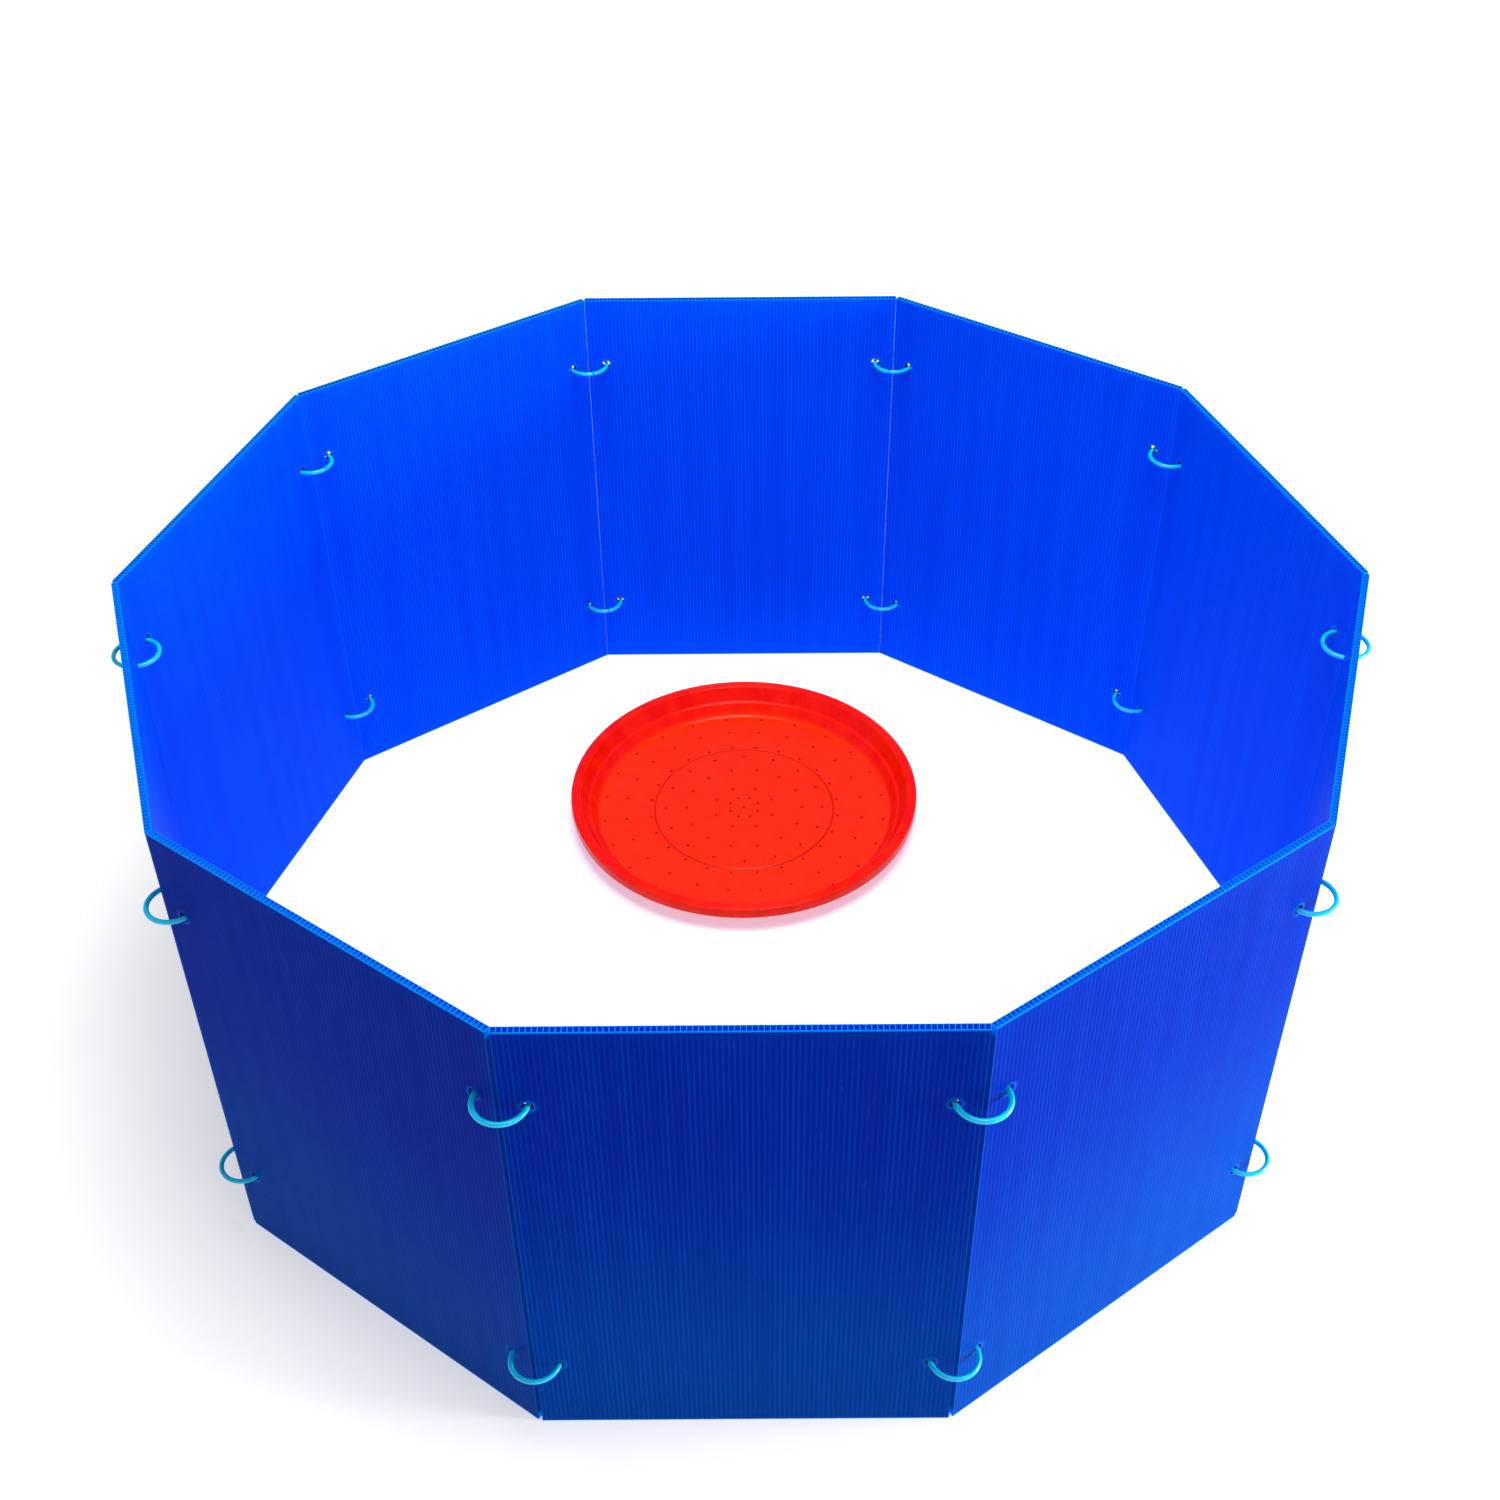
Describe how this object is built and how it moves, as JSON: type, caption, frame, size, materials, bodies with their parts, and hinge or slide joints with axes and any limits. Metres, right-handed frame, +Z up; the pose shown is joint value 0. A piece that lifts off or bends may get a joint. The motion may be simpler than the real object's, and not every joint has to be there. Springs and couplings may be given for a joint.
{
  "type": "chick brooder pen with feeder tray",
  "caption": "Folding round pen of fluted plastic panels laced at the corners with plastic rings, with a shallow round feed tray standing inside on the floor.",
  "frame": {"origin": "centre of the pen on the floor, level with the panels' bottom edges", "axes": "+Z up; -Y towards the front panel, panel_01; +X towards the corner between panel_03 and panel_04"},
  "size_m": [1.1792, 1.1238, 0.5],
  "materials": {
    "panel_plastic": "satin blue twin-wall polypropylene sheet, upright flutes",
    "ring_plastic": "smooth light blue moulded plastic",
    "tray_plastic": "shiny red moulded plastic"
  },
  "bodies": {
    "panel_01": {"panel_01": "panel_plastic"},
    "panel_02": {"panel_02": "panel_plastic"},
    "panel_03": {"panel_03": "panel_plastic"},
    "panel_04": {"panel_04": "panel_plastic"},
    "panel_05": {"panel_05": "panel_plastic"},
    "panel_06": {"panel_06": "panel_plastic"},
    "panel_07": {"panel_07": "panel_plastic"},
    "panel_08": {"panel_08": "panel_plastic"},
    "panel_09": {"panel_09": "panel_plastic"},
    "panel_10": {"panel_10": "panel_plastic"},
    "ring_01_upper": {"ring_01_upper": "ring_plastic"},
    "ring_01_lower": {"ring_01_lower": "ring_plastic"},
    "ring_02_upper": {"ring_02_upper": "ring_plastic"},
    "ring_02_lower": {"ring_02_lower": "ring_plastic"},
    "ring_03_upper": {"ring_03_upper": "ring_plastic"},
    "ring_03_lower": {"ring_03_lower": "ring_plastic"},
    "ring_04_upper": {"ring_04_upper": "ring_plastic"},
    "ring_04_lower": {"ring_04_lower": "ring_plastic"},
    "ring_05_upper": {"ring_05_upper": "ring_plastic"},
    "ring_05_lower": {"ring_05_lower": "ring_plastic"},
    "ring_06_upper": {"ring_06_upper": "ring_plastic"},
    "ring_06_lower": {"ring_06_lower": "ring_plastic"},
    "ring_07_upper": {"ring_07_upper": "ring_plastic"},
    "ring_07_lower": {"ring_07_lower": "ring_plastic"},
    "ring_08_upper": {"ring_08_upper": "ring_plastic"},
    "ring_08_lower": {"ring_08_lower": "ring_plastic"},
    "ring_09_upper": {"ring_09_upper": "ring_plastic"},
    "ring_09_lower": {"ring_09_lower": "ring_plastic"},
    "ring_10_upper": {"ring_10_upper": "ring_plastic"},
    "ring_10_lower": {"ring_10_lower": "ring_plastic"},
    "feeder_tray": {"feeder_tray": "tray_plastic"}
  },
  "joints": [
    {"name": "corner_03_fold", "type": "hinge", "parent": "panel_04", "child": "panel_03", "pos_m": [0.56641, 0, 0], "axis": [0, 0, -1], "range_deg": [-36, 72]},
    {"name": "corner_08_fold", "type": "hinge", "parent": "panel_08", "child": "panel_09", "pos_m": [-0.56641, 0, 0], "axis": [0, 0, 1], "range_deg": [-36, 72]},
    {"name": "corner_05_fold", "type": "hinge", "parent": "panel_06", "child": "panel_05", "pos_m": [0.17503, 0.53869, 0], "axis": [0, 0, -1], "range_deg": [-18, 9]},
    {"name": "corner_04_fold", "type": "hinge", "parent": "panel_05", "child": "panel_04", "pos_m": [0.45823, 0.33293, 0], "axis": [0, 0, -1], "range_deg": [-18, 9]},
    {"name": "corner_02_fold", "type": "hinge", "parent": "panel_03", "child": "panel_02", "pos_m": [0.45823, -0.33293, 0], "axis": [0, 0, -1], "range_deg": [-18, 9]},
    {"name": "corner_01_fold", "type": "hinge", "parent": "panel_02", "child": "panel_01", "pos_m": [0.17503, -0.53869, 0], "axis": [0, 0, -1], "range_deg": [-18, 9]},
    {"name": "corner_06_fold", "type": "hinge", "parent": "panel_06", "child": "panel_07", "pos_m": [-0.17503, 0.53869, 0], "axis": [0, 0, 1], "range_deg": [-18, 9]},
    {"name": "corner_07_fold", "type": "hinge", "parent": "panel_07", "child": "panel_08", "pos_m": [-0.45823, 0.33293, 0], "axis": [0, 0, 1], "range_deg": [-18, 9]},
    {"name": "corner_09_fold", "type": "hinge", "parent": "panel_09", "child": "panel_10", "pos_m": [-0.45823, -0.33293, 0], "axis": [0, 0, 1], "range_deg": [-18, 9]},
    {"name": "ring_01_upper_turn", "type": "hinge", "parent": "panel_02", "child": "ring_01_upper", "pos_m": [0.17503, -0.53869, 0.4186], "axis": [0, 0, -1], "range_deg": [-9, 4.5]},
    {"name": "ring_01_lower_turn", "type": "hinge", "parent": "panel_02", "child": "ring_01_lower", "pos_m": [0.17503, -0.53869, 0.0846], "axis": [0, 0, -1], "range_deg": [-9, 4.5]},
    {"name": "ring_02_upper_turn", "type": "hinge", "parent": "panel_03", "child": "ring_02_upper", "pos_m": [0.45823, -0.33293, 0.4186], "axis": [0, 0, -1], "range_deg": [-9, 4.5]},
    {"name": "ring_02_lower_turn", "type": "hinge", "parent": "panel_03", "child": "ring_02_lower", "pos_m": [0.45823, -0.33293, 0.0846], "axis": [0, 0, -1], "range_deg": [-9, 4.5]},
    {"name": "ring_03_upper_turn", "type": "hinge", "parent": "panel_04", "child": "ring_03_upper", "pos_m": [0.56641, 0, 0.4186], "axis": [0, 0, -1], "range_deg": [-18, 36]},
    {"name": "ring_03_lower_turn", "type": "hinge", "parent": "panel_04", "child": "ring_03_lower", "pos_m": [0.56641, 0, 0.0846], "axis": [0, 0, -1], "range_deg": [-18, 36]},
    {"name": "ring_04_upper_turn", "type": "hinge", "parent": "panel_05", "child": "ring_04_upper", "pos_m": [0.45823, 0.33293, 0.4186], "axis": [0, 0, -1], "range_deg": [-9, 4.5]},
    {"name": "ring_04_lower_turn", "type": "hinge", "parent": "panel_05", "child": "ring_04_lower", "pos_m": [0.45823, 0.33293, 0.0846], "axis": [0, 0, -1], "range_deg": [-9, 4.5]},
    {"name": "ring_05_upper_turn", "type": "hinge", "parent": "panel_06", "child": "ring_05_upper", "pos_m": [0.17503, 0.53869, 0.4186], "axis": [0, 0, -1], "range_deg": [-9, 4.5]},
    {"name": "ring_05_lower_turn", "type": "hinge", "parent": "panel_06", "child": "ring_05_lower", "pos_m": [0.17503, 0.53869, 0.0846], "axis": [0, 0, -1], "range_deg": [-9, 4.5]},
    {"name": "ring_06_upper_turn", "type": "hinge", "parent": "panel_06", "child": "ring_06_upper", "pos_m": [-0.17503, 0.53869, 0.4186], "axis": [0, 0, 1], "range_deg": [-9, 4.5]},
    {"name": "ring_06_lower_turn", "type": "hinge", "parent": "panel_06", "child": "ring_06_lower", "pos_m": [-0.17503, 0.53869, 0.0846], "axis": [0, 0, 1], "range_deg": [-9, 4.5]},
    {"name": "ring_07_upper_turn", "type": "hinge", "parent": "panel_07", "child": "ring_07_upper", "pos_m": [-0.45823, 0.33293, 0.4186], "axis": [0, 0, 1], "range_deg": [-9, 4.5]},
    {"name": "ring_07_lower_turn", "type": "hinge", "parent": "panel_07", "child": "ring_07_lower", "pos_m": [-0.45823, 0.33293, 0.0846], "axis": [0, 0, 1], "range_deg": [-9, 4.5]},
    {"name": "ring_08_upper_turn", "type": "hinge", "parent": "panel_08", "child": "ring_08_upper", "pos_m": [-0.56641, 0, 0.4186], "axis": [0, 0, 1], "range_deg": [-18, 36]},
    {"name": "ring_08_lower_turn", "type": "hinge", "parent": "panel_08", "child": "ring_08_lower", "pos_m": [-0.56641, 0, 0.0846], "axis": [0, 0, 1], "range_deg": [-18, 36]},
    {"name": "ring_09_upper_turn", "type": "hinge", "parent": "panel_09", "child": "ring_09_upper", "pos_m": [-0.45823, -0.33293, 0.4186], "axis": [0, 0, 1], "range_deg": [-9, 4.5]},
    {"name": "ring_09_lower_turn", "type": "hinge", "parent": "panel_09", "child": "ring_09_lower", "pos_m": [-0.45823, -0.33293, 0.0846], "axis": [0, 0, 1], "range_deg": [-9, 4.5]},
    {"name": "ring_10_upper_turn", "type": "hinge", "parent": "panel_10", "child": "ring_10_upper", "pos_m": [-0.17503, -0.53869, 0.4186], "axis": [0, 0, 1], "range_deg": [-9, 4.5]},
    {"name": "ring_10_lower_turn", "type": "hinge", "parent": "panel_10", "child": "ring_10_lower", "pos_m": [-0.17503, -0.53869, 0.0846], "axis": [0, 0, 1], "range_deg": [-9, 4.5]},
    {"name": "feeder_tray_lift", "type": "slide", "parent": "panel_06", "child": "feeder_tray", "axis": [0, 0, 1], "range_m": [0, 0.55]}
  ],
  "couplings": [
    {"joint": "corner_08_fold", "follows": "corner_03_fold", "ratio": 1},
    {"joint": "corner_05_fold", "follows": "corner_03_fold", "ratio": -0.25},
    {"joint": "corner_04_fold", "follows": "corner_03_fold", "ratio": -0.25},
    {"joint": "corner_02_fold", "follows": "corner_03_fold", "ratio": -0.25},
    {"joint": "corner_01_fold", "follows": "corner_03_fold", "ratio": -0.25},
    {"joint": "corner_06_fold", "follows": "corner_03_fold", "ratio": -0.25},
    {"joint": "corner_07_fold", "follows": "corner_03_fold", "ratio": -0.25},
    {"joint": "corner_09_fold", "follows": "corner_03_fold", "ratio": -0.25},
    {"joint": "ring_01_upper_turn", "follows": "corner_03_fold", "ratio": -0.125},
    {"joint": "ring_01_lower_turn", "follows": "corner_03_fold", "ratio": -0.125},
    {"joint": "ring_02_upper_turn", "follows": "corner_03_fold", "ratio": -0.125},
    {"joint": "ring_02_lower_turn", "follows": "corner_03_fold", "ratio": -0.125},
    {"joint": "ring_03_upper_turn", "follows": "corner_03_fold", "ratio": 0.5},
    {"joint": "ring_03_lower_turn", "follows": "corner_03_fold", "ratio": 0.5},
    {"joint": "ring_04_upper_turn", "follows": "corner_03_fold", "ratio": -0.125},
    {"joint": "ring_04_lower_turn", "follows": "corner_03_fold", "ratio": -0.125},
    {"joint": "ring_05_upper_turn", "follows": "corner_03_fold", "ratio": -0.125},
    {"joint": "ring_05_lower_turn", "follows": "corner_03_fold", "ratio": -0.125},
    {"joint": "ring_06_upper_turn", "follows": "corner_03_fold", "ratio": -0.125},
    {"joint": "ring_06_lower_turn", "follows": "corner_03_fold", "ratio": -0.125},
    {"joint": "ring_07_upper_turn", "follows": "corner_03_fold", "ratio": -0.125},
    {"joint": "ring_07_lower_turn", "follows": "corner_03_fold", "ratio": -0.125},
    {"joint": "ring_08_upper_turn", "follows": "corner_03_fold", "ratio": 0.5},
    {"joint": "ring_08_lower_turn", "follows": "corner_03_fold", "ratio": 0.5},
    {"joint": "ring_09_upper_turn", "follows": "corner_03_fold", "ratio": -0.125},
    {"joint": "ring_09_lower_turn", "follows": "corner_03_fold", "ratio": -0.125},
    {"joint": "ring_10_upper_turn", "follows": "corner_03_fold", "ratio": -0.125},
    {"joint": "ring_10_lower_turn", "follows": "corner_03_fold", "ratio": -0.125}
  ]
}
